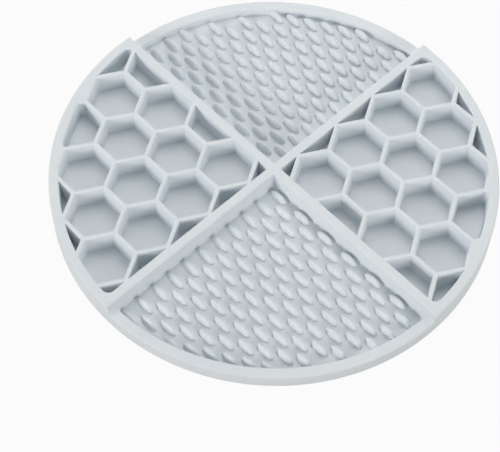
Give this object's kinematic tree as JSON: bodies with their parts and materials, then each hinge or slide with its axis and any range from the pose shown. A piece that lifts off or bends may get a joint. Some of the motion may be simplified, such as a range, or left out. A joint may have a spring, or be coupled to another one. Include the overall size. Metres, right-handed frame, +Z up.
{
  "type": "slow feeder mat",
  "caption": "Shallow round silicone slow feeder mat: a cross of dividers parts honeycomb pockets at the sides from trays of leaf-shaped nubs at front and rear.",
  "frame": {"origin": "middle of the flat underside, on the surface that the mat lies on", "axes": "+Z up out of the mat, -Y towards the tray nearest the camera, +X towards the right honeycomb"},
  "size_m": [0.2, 0.2, 0.0133],
  "materials": {
    "silicone": "matte"
  },
  "bodies": {
    "root": {"base_plate": "silicone", "cross_divider": "silicone", "raised_rim_left": "silicone", "raised_rim_right": "silicone", "low_rim_front": "silicone", "low_rim_rear": "silicone", "honeycomb_left": "silicone", "honeycomb_right": "silicone", "nub_field_front": "silicone", "nub_field_rear": "silicone"}
  },
  "joints": []
}
